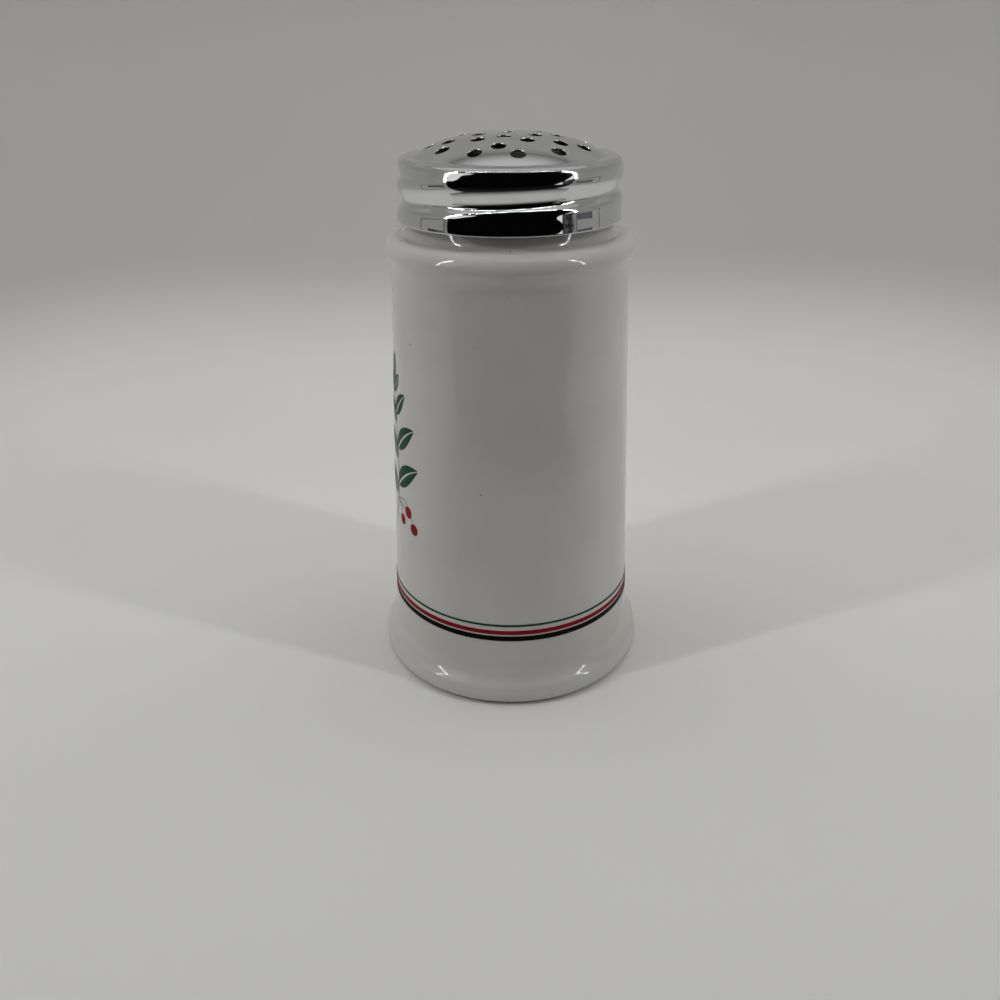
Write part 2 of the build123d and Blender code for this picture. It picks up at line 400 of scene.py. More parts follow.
# %% Mottled card and apron
# the mottled cards glow in faint blots and show only in reflections: painted reflections
mottled_look = {"Base Color": (*black, 1), "Emission Strength": 1.0}
mottled_size, mottled_pale, mottled_dark = 60.0, (0.09, 0.09, 0.095, 1), (0.01, 0.01, 0.012, 1)
mottled, shader, place = new_finish("mottled_card", mottled_look)
blots = fade(cloud(place, mottled_size), 0.34, 0.62)
feed(shader, "Emission Color", tint(blots, mottled_pale, mottled_dark))
blot_rows = card_patch(card_edge([0], [mottled_side]), right_end, card_low, 0.0)
card("mottled_front", blot_rows, mottled)

# the apron is a black sheet seen only in reflections: a painted dark reflection of the table in
# front
apron_near, apron_solid, apron_far, apron_rise = 120.0, 330.0, 890.0, 1.0
swing = np.radians(np.linspace(-card_side, card_side, card_columns)) - math.pi / 2
apron_height = np.full(card_columns, apron_rise)
apron_rows = [
    np.column_stack([reach * np.cos(swing), reach * np.sin(swing), apron_height])
    for reach in (apron_near, apron_far)
]
apron_look = {"Base Color": (*black, 1), "Roughness": 0.9}
apron_cloth, shader, place = new_finish("apron_cloth", apron_look)
reach = place.node("ShaderNodeVectorMath", {"operation": "LENGTH"}, {0: place}, out=1)
feed(shader, "Alpha", fade(reach, apron_near, apron_solid))
apron = card("dark_apron", apron_rows, apron_cloth)
print("apron:", len(apron.data.polygons), "faces")

# %% Frames at the sides
# the dark frames and glowing mottled patches beside the tent show only in reflections: painted
# reflections
trim_side, trim_width = 335.0, 5.0
trim_front, trim_back, trim_low, trim_high = -156.0, 30.0, 45.0, 150.0
blot_behind, blot_depths, blot_heights = 1.0, (-148.0, -30.0), (80.0, 122.0)
corner_signs = [(1, 1), (-1, 1), (-1, -1), (1, -1)]
outer = [
    (trim_front, trim_low), (trim_back, trim_low), (trim_back, trim_high), (trim_front, trim_high),
]
inner = [(y + trim_width * a, z + trim_width * b) for (y, z), (a, b) in zip(outer, corner_signs)]
for side, hand in ((-1, "left"), (1, "right")):
    wide = side * trim_side
    loops = [[(wide, y, z) for y, z in loop] for loop in (outer, inner)]
    card(f"trim_{hand}", loops, dark_reflection_cloth, ring=True)
    behind = wide + side * blot_behind
    blot_rows = [[(behind, y, z) for y in blot_depths] for z in blot_heights]
    card(f"mottled_{hand}", blot_rows, mottled)
print("frames at", trim_side, "mm to both sides")

# %% [markdown]
# ## Lamps
# Thin light strips stand at the tent's front corners and one runs across its roof. They draw the
# crisp bent lines on the glaze and the white lines on the chrome. Soft panels above and at both
# sides fill the rest, and are kept out of the reflections. One large lamp would be simpler, but its
# square would show on the jar. A lamp's watts depend on its size, so the brightness is set per area
# and the watts follow.


# %% A strip of light
def lamp(name, start, end, width, brightness, aim):
    """A straight strip of light from start to end, in mm, facing a point."""
    start, end, aim = Vector(start) * MM, Vector(end) * MM, Vector(aim) * MM
    along = (end - start).normalized()
    middle = (start + end) / 2
    away = middle - aim
    away = (away - along * away.dot(along)).normalized()
    across = away.cross(along)
    light = bpy.data.lights.new(name, "AREA")
    light.shape = "RECTANGLE"
    light.size, light.size_y = (end - start).length, width * MM
    light.energy = brightness * math.pi * light.size * light.size_y
    made = bpy.data.objects.new(name, light)
    scene.collection.objects.link(made)
    turned = Matrix((along, across, away)).transposed().to_4x4()
    made.matrix_world = Matrix.Translation(middle) @ turned
    made.visible_camera = False
    return made


print("lamp helper:", lamp.__name__)

# %% Strips, roof bar and soft panels
strip_width, strip_side, strip_front = 22.0, 425.0, -198.0
# each strip: its lower end, its upper end and its brightness
strip_ends = {"low": (178.0, 430.0, 12.0), "high": (430.0, 607.0, 44.0)}
bar_place, bar_height, bar_middle, bar_reach, bar_width = -169.0, 640.0, 130.0, 330.0, 3.0
bar_dim, bar_bright = 25.0, 50.0
panel_ends, panel_height, panel_width, panel_bright = (30.0, 310.0), 505.0, 250.0, 1.45
roof_half, roof_place, roof_width, roof_bright = 300.0, 100.0, 400.0, 0.66
jar_middle, under_roof = (0, 0, 80), (0, roof_place, 0)
for side, hand, share in ((-1, "left", 1.05), (1, "right", 0.95)):
    edge = side * strip_side
    for level, (low, high, brightness) in strip_ends.items():
        post = [(edge, strip_front, height) for height in (low, high)]
        lamp(f"post_{hand}_{level}", *post, strip_width, share * brightness, jar_middle)
    bar = [(side * reach, bar_place, bar_height) for reach in (bar_middle, bar_reach)]
    lamp(f"bar_{hand}", *bar, bar_width, bar_bright, jar_middle)
    panel = [(edge, depth, panel_height) for depth in panel_ends]
    soft = lamp(f"panel_{hand}", *panel, panel_width, share * panel_bright, jar_middle)
    soft.visible_glossy = False
bar = [(side * bar_middle, bar_place, bar_height) for side in (-1, 1)]
lamp("bar_middle", *bar, bar_width, bar_dim, jar_middle)
roof = [(side * roof_half, roof_place, bar_height) for side in (-1, 1)]
lamp("panel_top", *roof, roof_width, roof_bright, under_roof).visible_glossy = False

room_dark = (0.012, 0.012, 0.012, 1)
world = bpy.data.worlds.new("room")
scene.world = world
world.use_nodes = True
world.node_tree.nodes["Background"].inputs["Color"].default_value = room_dark

# %% [markdown]
# ## The jar's outline
# A jar like this is slip-cast and turned true, so one outline of radius and height makes all of it:
# the ring it stands on, the rolled foot, the tapered wall, the lip, the neck and the hollow
# inside. It could be drawn by hand, but arcs that touch without a corner make a calm highlight, so
# each round is worked out from its neighbours.

# %% Rounds and runs of an outline
foot_radius, foot_roll, foot_toe, foot_height = 43.35, 3.3, 5.0, 12.0
wall_foot, wall_top_radius, wall_top = 39.25, 34.27, 126.5
wall_draft = math.atan2(wall_foot - wall_top_radius, wall_top - foot_height)


def wall_radius(height):
    return wall_foot - (height - foot_height) * math.tan(wall_draft)


def arc(centre, radius, start, end, steps):
    """Points on an arc; angles in radians, centre and points as (radius, height) in mm."""
    turn = np.linspace(start, end, steps)
    return np.column_stack([centre[0] + radius * np.cos(turn), centre[1] + radius * np.sin(turn)])


def run(start, end, steps):
    return np.linspace(start, end, steps)


def bend(start, leave, end, arrive, steps):
    """A soft curve that leaves and arrives in given directions."""
    t = np.linspace(0, 1, steps)[:, None]
    start, end = np.array(start), np.array(end)
    pull = np.linalg.norm(end - start)
    leave, arrive = np.array(leave) * pull, np.array(arrive) * pull
    return (
        (2 * t**3 - 3 * t**2 + 1) * start
        + (t**3 - 2 * t**2 + t) * leave
        + (3 * t**2 - 2 * t**3) * end
        + (t**3 - t**2) * arrive
    )


def cove(centre, radius, point):
    """Hollow arc that leaves the tapered wall at a point and meets a round without a corner."""
    outward = np.array([math.cos(wall_draft), math.sin(wall_draft)])
    offset = np.subtract(point, centre)
    hollow = (radius**2 - offset @ offset) / (2 * (offset @ outward - radius))
    middle = point + outward * hollow
    return middle, hollow, math.atan2(middle[1] - centre[1], middle[0] - centre[0])


def joined(*runs):
    """One outline from several runs, without the doubled points where they meet."""
    points = np.vstack(runs)
    gaps = np.linalg.norm(np.diff(points, axis=0), axis=1)
    return points[np.append(True, gaps > 1e-4)]


print("wall leans in by", round(math.degrees(wall_draft), 2), "degrees")

# %% Foot and wall
roll_centre = (foot_radius - foot_roll, foot_roll)
toe_centre = (foot_radius - foot_toe, foot_roll)
foot_cove, foot_hollow, foot_meeting = cove(toe_centre, foot_toe, (wall_foot, foot_height))
recess, ring_inner, recess_draft, recess_round = 2.2, 34.35, 1.5, 1.0
recess_end = (ring_inner - recess_draft - recess_round, recess)
ring_edge, ring_fall, ring_start = (ring_inner - 0.1, 0.35), (0.4, -0.9), (ring_inner + 0.45, 0)
underside = joined(
    run((0, recess), recess_end, 12),
    bend(recess_end, (1, 0), ring_edge, ring_fall, 10),
    bend(ring_edge, ring_fall, ring_start, (1, 0), 6),
)
foot = joined(
    arc(roll_centre, foot_roll, -math.pi / 2, 0, 14),
    arc(toe_centre, foot_toe, 0, foot_meeting, 18),
    arc(foot_cove, foot_hollow, math.pi + foot_meeting, math.pi + wall_draft, 16),
)
wall = run((wall_foot, foot_height), (wall_top_radius, wall_top), 100)
print("foot:", round(2 * foot_radius, 1), "mm wide, its hollow round", round(foot_hollow, 2), "mm")

# %% Lip, neck and inside
lip_radius, lip_height, lip_round, lip_back = 35.82, 132.85, 4.0, math.radians(96)
neck_radius, neck_base, rim_height, rim_round = 28.9, 141.3, 155.275, 1.1
bore_radius, bore_base, jar_wall, floor_height, floor_corner = 24.7, 141.275, 4.2, 8.2, 9.0

lip_centre = (lip_radius - lip_round, lip_height)
lip_cove, lip_hollow, lip_meeting = cove(lip_centre, lip_round, (wall_top_radius, wall_top))
lip_arc = arc(lip_centre, lip_round, lip_meeting, lip_back, 40)
valley = (-math.sin(lip_back), math.cos(lip_back))
lip = joined(
    arc(lip_cove, lip_hollow, math.pi + wall_draft, math.pi + lip_meeting, 14),
    lip_arc,
    bend(lip_arc[-1], valley, (neck_radius, neck_base), (0, 1), 24),
)
rim_low = rim_height - rim_round
neck = run((neck_radius, neck_base), (neck_radius, rim_low), 64)
rim = joined(
    arc((neck_radius - rim_round, rim_low), rim_round, 0, math.pi / 2, 8),
    arc((bore_radius + rim_round, rim_low), rim_round, math.pi / 2, math.pi, 8),
)
draft_down = (math.sin(wall_draft), -math.cos(wall_draft))
inner_low = (wall_radius(floor_height + floor_corner) - jar_wall, floor_height + floor_corner)
inner_high = (wall_radius(lip_height) - jar_wall, lip_height)
floor_edge = (inner_low[0] - floor_corner, floor_height)
inside = joined(
    run((bore_radius, rim_low), (bore_radius, bore_base), 12),
    bend((bore_radius, bore_base), (0, -1), inner_high, draft_down, 16),
    run(inner_high, inner_low, 40),
    bend(inner_low, draft_down, floor_edge, (-1, 0), 14),
    run(floor_edge, (0, floor_height), 12),
)
jar_outline = joined(underside, foot, wall, lip, neck, rim, inside)
print("jar outline:", len(jar_outline), "points, top", jar_outline[:, 1].max().round(3), "mm")

# %% [markdown]
# ## Unevenness and the screw
# A cast wall is never quite true: it is a few hundredths of a millimetre off round, which is what
# lets long reflections waver. The neck carries a raised screw: a rounded ridge that climbs a helix
# and fades out at its ends. A curve could be swept along the helix, but it would only rest on the
# neck, so the ridge is worked out as a rise of the neck's own wall.


# %% Waver and screw form
def soft_step(value, low, high):
    part = np.clip((value - low) / (high - low), 0, 1)
    return part * part * (3 - 2 * part)


# each wave: its size, how many go round, how it leans with height, and its phase
waver_waves = [(0.030, 2, 0.045, 0.0), (0.018, 3, -0.070, 1.0), (0.010, 5, 0.110, 2.0)]
waver_start, waver_stop = (12, 30), (118, 127)


def wall_waver(angle, height):
    """How far the cast wall stands off its true round, in mm; angles in radians."""
    off = sum(
        size * np.sin(count * angle + climb * height + phase)
        for size, count, climb, phase in waver_waves
    )
    return off * soft_step(height, *waver_start) * (1 - soft_step(height, *waver_stop))


thread_lead, thread_fade = 6.9, 70.0


def screw_form(angle, height, start_angle, start_height, end_height, half_width):
    """How much of the ridge there is at a place on the wall, from 0 to 1."""
    end_angle = start_angle + 360 * (end_height - start_height) / thread_lead
    most = np.zeros(np.broadcast(angle, height).shape)
    for turn in range(3):
        climb = np.degrees(angle) % 360 + 360 * turn
        offset = height - start_height - thread_lead * (climb - start_angle) / 360
        flank = np.clip(1 - (offset / half_width) ** 2, 0, None) ** 3
        room = np.clip(np.minimum(climb - start_angle, end_angle - climb) / thread_fade, 0, 1)
        most = np.maximum(most, flank * room**3 * (10 - 15 * room + 6 * room**2))
    return most


def soft_max(first, second, width):
    """The larger of two, with the corner between them rounded over a width."""
    return (first + second + np.sqrt((first - second) ** 2 + width**2)) / 2


front_bearing = 270.0
bead_root, bead_reach, bead_sway, bead_blend = 0.25, 1.45, 1.1, 0.12
bead_start, bead_low, bead_high, bead_half = 60.0, 145.603, 152.375, 2.346


def neck_bead(angle, height):
    """Radius of the neck with its screw, which sways a little on its way round."""
    swayed = height - bead_sway * np.cos(angle - math.radians(front_bearing))
    ridge = screw_form(angle, swayed, bead_start, bead_low, bead_high, bead_half)
    return soft_max(neck_radius, neck_radius - bead_root + bead_reach * ridge, bead_blend)


print("waver at the middle of the wall:", round(float(wall_waver(1.0, 75.0)), 3), "mm")

# %% [markdown]
# ## Glaze
# The glaze is glossy and milky white over a pale clay. Up close it has slow warm and cool clouds, a
# few dark iron specks and pinholes, and a faint orange-peel surface. The ring that the jar stands
# on is wiped bare before firing, so the dry clay shows there. A flat white would lose all of this.


# %% Marks on the glaze
def faces_along(place, arrow):
    """How far a face looks along an arrow, times the arrow's length."""
    facing = place.node("ShaderNodeTexCoord", out=1)
    dot = {"operation": "DOT_PRODUCT"}
    return place.node("ShaderNodeVectorMath", dot, {0: arrow, 1: facing}, out=1)


def streaked(place, turn, scale):
    """Places turned and squeezed, so that a round pattern comes out in streaks."""
    sockets = {0: place, "Rotation": turn, "Scale": scale}
    return place.node("ShaderNodeMapping", {"vector_type": "POINT"}, sockets)


glaze, shader, place = new_finish("glaze", {"IOR": 1.52})
speck_cell = 7.0
cells = place.node("ShaderNodeTexVoronoi", None, {"Vector": place, "Scale": 1 / speck_cell})
chance = place.node("ShaderNodeSeparateColor", None, {0: cells.tap(1)})
speck_size = 0.035 * chance.tap(1) + 0.008
specks = fade(cells - speck_size, 0.012, 0.0) * fade(chance, 0.62, 0.64)
axes = place.node("ShaderNodeSeparateXYZ", None, {0: place})
bare = fade(axes.tap(2) + 0.4 * cloud(place, 3.0), 0.9, 0.5)
level = place.node("ShaderNodeVectorMath", {"operation": "MULTIPLY"}, {0: place, 1: (1, 1, 0)})
# hollow picks the jar's inside faces above its floor, which take a dark buff: painted shade inside
# the jar
hollow = fade(faces_along(place, level), -4.0, -10.0) * fade(axes.tap(2), 6.0, 7.0)
slanted = streaked(place, (0.5, 0.3, 0.8), (1, 1, 7))
scuffs = fade(cloud(slanted, 2.6, 3.0), 0.68, 0.74) * fade(cloud(place, 14.0), 0.55, 0.65)
patches = fade(cloud(place, 26.0, 3.0), 0.35, 0.75)
print("marks: specks in cells of", speck_cell, "mm, scuffs, clouds and a bare ring")

# %% Glaze
glaze_white, glaze_warm = (0.665, 0.66, 0.635, 1), (0.63, 0.62, 0.59, 1)
speck_brown, clay = (0.20, 0.16, 0.12, 1), (0.66, 0.60, 0.50, 1)
# the dark buff of the jar's inside is painted shade
painted_inside_shade = (0.36, 0.34, 0.30, 1)
colour = tint(patches, glaze_white, glaze_warm)
colour = tint(0.85 * specks + 0.22 * scuffs, colour, speck_brown)
colour = tint(hollow, colour, painted_inside_shade)
feed(shader, "Base Color", tint(bare, colour, clay))
feed(shader, "Roughness", 0.05 + 0.05 * cloud(place, 9.0) + 0.7 * bare + 0.2 * scuffs)
peel = cloud(place, 2.2, 1.0) * 0.5 + cloud(place, 11.0, 1.0) - 1.4 * specks
feed(shader, "Normal", bump(peel + 2.0 * bare * cloud(place, 0.25, 3.0), 0.02, 0.35))
print("glaze:", len(glaze.node_tree.nodes), "nodes")

# %% [markdown]
# ## Turning the jar
# Rows of points run round the outline like the steps of a lathe. Their radius follows the waver on
# the wall and the screw on the neck. A screw modifier would do for a plain jar, but it can't
# carry the helix, so the rows are made in code.


# %% Turning a piece
def piece(name, points, faces, finish, body, slot, stands_for=()):
    """A smooth mesh in the frame, riding on a body and standing for CAD nodes."""
    made = new_mesh(name, points, faces, finish)
    mesh = made.data
    cleaned = bmesh.new()
    cleaned.from_mesh(mesh)
    bmesh.ops.remove_doubles(cleaned, verts=cleaned.verts, dist=1e-6)
    bmesh.ops.recalc_face_normals(cleaned, faces=cleaned.faces)
    cleaned.to_mesh(mesh)
    cleaned.free()
    mesh.shade_smooth()
    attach(made, body)
    if stands_for:
        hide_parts(*stands_for)
    print(name, "has", len(mesh.polygons), "faces on body", body)
    return made


def ring_angles(columns):
    return np.linspace(0, 2 * math.pi, columns, endpoint=False)


def turned_row(radius, height, angle):
    """One row of a turned skin; a radius of 0 gives the single point on the axis."""
    if np.ndim(radius) == 0 and radius < 1e-6:
        return np.array([[0, 0, height]])
    height = np.broadcast_to(height, angle.shape)
    return np.column_stack([radius * np.cos(angle), radius * np.sin(angle), height])


jar_columns = 400
jar_angles = ring_angles(jar_columns)
jar_rows = []
for radius, height in jar_outline:
    neck_row = abs(radius - neck_radius) < 1e-6 and neck_base < height < rim_low
    wall_row = abs(radius - wall_radius(height)) < 1e-3
    if neck_row:
        radius = neck_bead(jar_angles, height)
    elif wall_row:
        radius = radius + wall_waver(jar_angles, height)
    jar_rows.append(turned_row(radius, height, jar_angles))
piece("jar", *skin(jar_rows), glaze, "jar", "glaze", ["jar_body"])

# %% [markdown]
# ## Colour bands
# The three lines at the foot are ceramic colour laid on the glaze and fired again. They are thin,
# glossy and a little domed, with edges that are not ruler-straight. They could be painted in the
# glaze's own shader, but real lines stand proud, so each is a thin ring that follows the wall.


# %% Enamel finishes
def enamel(name, colour, deep):
    """Fired-on colour with slow changes of depth and a few pinholes of white glaze."""
    material, shader, place = new_finish(name, {"Specular IOR Level": 0.05})
    depth = fade(cloud(place, 4.0, 3.0), 0.3, 0.75)
    pinholes = fade(cloud(place, 0.35, 2.0), 0.80, 0.84)
    laid = tint(depth, (*colour, 1), (*deep, 1))
    feed(shader, "Base Color", tint(0.6 * pinholes, laid, glaze_white))
    feed(shader, "Roughness", 0.30 + 0.12 * cloud(place, 1.5))
    feed(shader, "Normal", bump(cloud(place, 0.8, 2.0) - pinholes, 0.01, 0.3))
    return material


green_enamel = enamel("green_enamel", (0.012, 0.085, 0.045), (0.007, 0.055, 0.030))
red_enamel = enamel("red_enamel", (0.33, 0.007, 0.016), (0.24, 0.004, 0.010))
black_enamel = enamel("black_enamel", (0.003, 0.003, 0.0028), (0.0012, 0.0012, 0.0012))
print("enamels:", [finish.name for finish in (green_enamel, red_enamel, black_enamel)])

# %% Laying the bands
band_angles = ring_angles(480)
band_proud, band_sunk, band_edge = 0.11, 0.03, 0.10
wander_slow, wander_quick = 0.014, 0.010


def colour_band(name, low, width, phase, finish, slot):
    """A thin domed ring on the wall, with edges that wander a little."""
    wander = wander_slow * np.sin(7 * band_angles + phase)
    wander = wander + wander_quick * np.sin(17 * band_angles + 2 * phase)
    steps = [(0, -band_sunk), (0, 0.3), (0.4, 0.85), (1, 1)]
    side = [(band_edge * across, rise if rise < 0 else rise * band_proud) for across, rise in steps]
    section = side + [(width - across, rise) for across, rise in side[::-1]]
    rows = []
    for across, rise in section + section[:1]:
        height = low + across + wander * (1 if across < width / 2 else -1)
        radius = wall_radius(height) + rise + wall_waver(band_angles, height)
        rows.append(turned_row(radius, height, band_angles))
    return piece(name, *skin(rows), finish, "jar", slot, [name.replace("line", "band")])


black_low, red_low, green_low = 21.6, 23.85, 26.7
colour_band("black_line", black_low, 1.75, 0.4, black_enamel, "black_enamel")
colour_band("red_line", red_low, 1.45, 1.7, red_enamel, "red_enamel")
colour_band("green_line", green_low, 0.75, 2.9, green_enamel, "green_enamel")

# %% [markdown]
# ## A sprig on the side
# The jar's side carries a small fired-on picture: here a plain herb sprig with a few berries, in
# the bands' colours. It could be a texture, but printed colour has a thickness that catches the
# light, so stem, leaves and berries are thin sheets bent round the wall, with rims sunk into it.

# %% Bending a flat shape round the wall
sprig_middle, sprig_turn, sprig_size = 74.0, math.radians(189), 0.86
print_proud, print_sunk, print_thick = 0.05, 0.03, 0.03


def on_wall(across, up, rise):
    """A place on the wall from a flat drawing: across and up in mm, rise off the surface."""
    height = sprig_middle + sprig_size * up
    plain = wall_radius(height)
    angle = sprig_turn + sprig_size * across / plain
    return turned_row(plain + wall_waver(angle, height) + rise, height, angle)


def sheet_rows(centre, sideways, reach_low, reach_high, steps=7):
    """Rows across a strip: from each centre point out to two reaches along its sideways arrow."""
    rows = []
    for share in np.linspace(0, 1, steps):
        reach = (reach_low + (reach_high - reach_low) * share)[:, None]
        spot = centre + sideways * reach
        edge = min(share, 1 - share) * 2
        along, back = np.linspace(0, 1, len(spot)), np.linspace(1, 0, len(spot))
        ends = np.minimum(1, 6 * np.minimum(along, back))
        rise = -print_sunk + (print_proud + print_sunk) * np.sqrt(np.minimum(1, 3 * edge) * ends)
        rows.append(on_wall(spot[:, 0], spot[:, 1], rise))
    return rows


def leaf_halves(root, aim, length, width, curl, steps=22):
    """The two halves of a leaf, with a thin bare vein between them."""
    along = np.linspace(0, 1, steps)
    heading = math.radians(aim) + math.radians(curl) * (along - 0.5)
    step = np.column_stack([np.cos(heading), np.sin(heading)]) * length / (steps - 1)
    centre = np.array(root) + np.cumsum(step, axis=0) - step[0]
    sideways = np.column_stack([-np.sin(heading), np.cos(heading)])
    half = width / 2 * np.sin(math.pi * along**0.8) ** 0.85
    vein = np.minimum(0.16 * (1 - along) + 0.05, half * 0.5)
    return [sheet_rows(centre, sideways * side, vein, np.maximum(half, vein)) for side in (1, -1)]


print("sprig faces", round(math.degrees(sprig_turn), 1), "degrees round the jar")

# %% Drawing the sprig
stem_low, stem_high, stem_side, stem_sway = -29, 25, 6.0, 3.0
stem_half, stem_taper = 0.38, 0.45
stem_up = np.linspace(stem_low, stem_high, 60)
stem_share = (stem_up - stem_low) / (stem_high - stem_low)
stem_across = stem_side + stem_sway * np.sin(stem_share * math.pi * 1.3)


def stem_at(up):
    return float(np.interp(up, stem_up, stem_across)), up


def laid_print(name, sheets, finish, slot):
    """Thin printed sheets as one piece, thickened into the glaze so that they are closed."""
    points, faces = [], []
    for rows in sheets:
        more, sides = skin(rows, ring=False)
        faces += [[corner + len(points) for corner in side] for side in sides]
        points += more
    made = piece(name, points, faces, finish, "jar", slot)
    thick = made.modifiers.new("thickness", "SOLIDIFY")
    thick.thickness, thick.offset = print_thick * MM, -1
    return made


# each leaf: its place up the stem, heading, length, width and curl
leaf_plan = [
    (-17, 148, 17, 7.6, 30), (-13, 36, 19, 8.0, -30), (-3, 142, 16, 7.0, 26),
    (1, 40, 17.5, 7.4, -28), (10, 136, 13, 5.8, 22), (13, 46, 14, 6.0, -24),
    (20, 128, 9.5, 4.4, 18), (21, 52, 10, 4.6, -18), (25, 82, 11, 4.8, 8),
]
leaves = []
for up, aim, length, width, curl in leaf_plan:
    leaves += leaf_halves(stem_at(up), aim, length, width, curl)
centre = np.column_stack([stem_across, stem_up])
thin = stem_half * (1 - stem_taper * np.linspace(0, 1, len(stem_up)))
stems = [sheet_rows(centre, np.tile([1.0, 0.0], (len(stem_up), 1)), -thin, thin, 5)]

# each berry: across, up and its radius
berry_plan = [(17.5, -20.5, 2.5), (13.0, -25.0, 2.3), (21.5, -25.8, 2.4)]
berry_steps, twig_steps, twig_half, twig_arch = 25, 14, 0.2, 1.6
sweep = np.linspace(-1, 1, berry_steps)
berries = []
for across, up, size in berry_plan:
    reach = size * np.sqrt(1 - sweep**2) + 0.02
    spine = np.column_stack([across + size * sweep, np.full(berry_steps, up)])
    berries.append(sheet_rows(spine, np.tile([0.0, 1.0], (berry_steps, 1)), -reach, reach, 13))
    start, tip = np.array(stem_at(-16 - across / 6)), np.array([across, up + size])
    twig = start + (tip - start) * np.linspace(0, 1, twig_steps)[:, None]
    twig[:, 1] += twig_arch * np.sin(np.linspace(0, math.pi, twig_steps))
    half = np.full(twig_steps, twig_half)
    stems.append(sheet_rows(twig, np.tile([0.0, 1.0], (twig_steps, 1)), -half, half, 5))
laid_print("sprig_leaves", leaves, green_enamel, "green_enamel")
laid_print("sprig_stems", stems, green_enamel, "green_enamel")
laid_print("sprig_berries", berries, red_enamel, "red_enamel")

# %% [markdown]
# ## Chrome
# The cap is stamped from thin steel and chromed. Its mirror is not perfect: there are faint wipe
# marks, hairline scratches that run every way, and a dull inside whose near-black colour is painted
# shade. Colour alone makes chrome look like grey paint, so the finish is all metal and the marks
# live in the roughness.

# %% Chrome
chrome, shader, place = new_finish("cap_chrome", {"Metallic": 1.0})
chrome_bright, chrome_wiped = (0.74, 0.75, 0.76, 1), (0.68, 0.685, 0.69, 1)
chrome_inside_shade, cap_middle = (0.05, 0.05, 0.048, 1), (0, 0, 135)
wiped = fade(cloud(place, 8.0, 4.0, 0.6), 0.45, 0.75)
one_way = streaked(place, (0.6, 0.4, 0.9), (1, 9, 1))
other_way = streaked(place, (1.1, 2.0, 0.3), (10, 1, 1))
hairs = fade(cloud(one_way, 1.4), 0.66, 0.72) + fade(cloud(other_way, 1.4), 0.67, 0.72)
subtract = {"operation": "SUBTRACT"}
from_middle = place.node("ShaderNodeVectorMath", subtract, {0: place, 1: cap_middle})
# faces turned to the cap's middle: duller, and darkened to near black as painted shade
dull_shaded_inside = fade(faces_along(place, from_middle), -2.0, -6.0)
colour = tint(0.5 * wiped, chrome_bright, chrome_wiped)
feed(shader, "Base Color", tint(dull_shaded_inside, colour, chrome_inside_shade))
feed(shader, "Roughness", 0.035 + 0.05 * wiped + 0.07 * hairs + 0.4 * dull_shaded_inside)
feed(shader, "Normal", bump(cloud(place, 5.0, 1.0) - 0.04 * hairs, 0.012, 0.25))
print("chrome:", len(chrome.node_tree.nodes), "nodes")

# %% [markdown]
# ## The cap
# The cap is one sheet: a skirt with the rolled screw groove, a rounded shoulder, a narrow ledge and
# a low dome. Thickness could come from a modifier, but the sheet must end in clean rounded edges at
# the skirt and in every hole, so the inside and outside skins are both turned and joined by the
# rounded edge.

# %% Cap groove
cap_sheet, skirt_edge = 0.65, 140.61
groove_depth, groove_lead, groove_front, groove_sway = 1.5, 6.85, 146.86, 1.1
groove_start, groove_end, groove_fade_in, groove_fade_out = -65.0, 608.0, 150.0, 90.0
groove_above, groove_below = 1.885, 0.95


def ease(share):
    """A very soft step from 0 to 1."""
    share = np.clip(share, 0, 1)
    return share**3 * (10 - 15 * share + 6 * share**2)


def groove(angle, height):
    """Depth of the rolled groove: a gentle upper flank, a steep lower one and soft ends."""
    deep = np.zeros(np.broadcast(angle, height).shape)
    for turn in range(-1, 3):
        climb = np.degrees(angle) % 360 + 360 * turn
        middle = groove_front + groove_lead * (climb - front_bearing) / 360
        offset = height - middle - groove_sway * np.cos(np.radians(climb - front_bearing))
        spread = np.where(offset > 0, groove_above, groove_below)
        fade_in = ease((climb - groove_start) / groove_fade_in)
        fade_out = ease((groove_end - climb) / groove_fade_out)
        deep = np.maximum(deep, np.exp(-((offset / spread) ** 2) / 2) * (fade_in * fade_out))
    return groove_depth * deep


front_depth = groove(math.radians(front_bearing), groove_front + groove_sway)
print("groove at the front:", round(float(front_depth), 2), "mm deep")

# %% Cap sections
bulge_radius, bulge_height, bulge_round = 31.48, 151.8, 15.0
flare, flare_top, flare_height = 0.34, 145.5, 5.5
roll_radius, roll_low = 2.2, 155.239
roll_lean = math.asin((roll_low - bulge_height) / bulge_round)


def skirt(height):
    """Radius of the skirt without its groove: flared at the edge and bulging to the shoulder."""
    bulging = np.clip(height - bulge_height, 0, None)
    lean = bulge_round - np.sqrt(bulge_round**2 - bulging**2)
    return bulge_radius + flare * ease((flare_top - height) / flare_height) - lean


shoulder_centre = skirt(roll_low) - roll_radius * math.cos(roll_lean)
shoulder_height = roll_low - roll_radius * math.sin(roll_lean)
ledge_height = shoulder_height + roll_radius
dome_top, dome_reach, dome_fullness, crease_round = 162.675, 26.85, 2.6, 0.12
dome_rise = dome_top - ledge_height


def dome_skin(radius, inset):
    """Height of the dome and its ledge at a radius, with the crease between them softened."""
    dome = dome_top - inset - dome_rise * (np.asarray(radius) / dome_reach) ** dome_fullness
    return soft_max(ledge_height - inset, dome, crease_round)


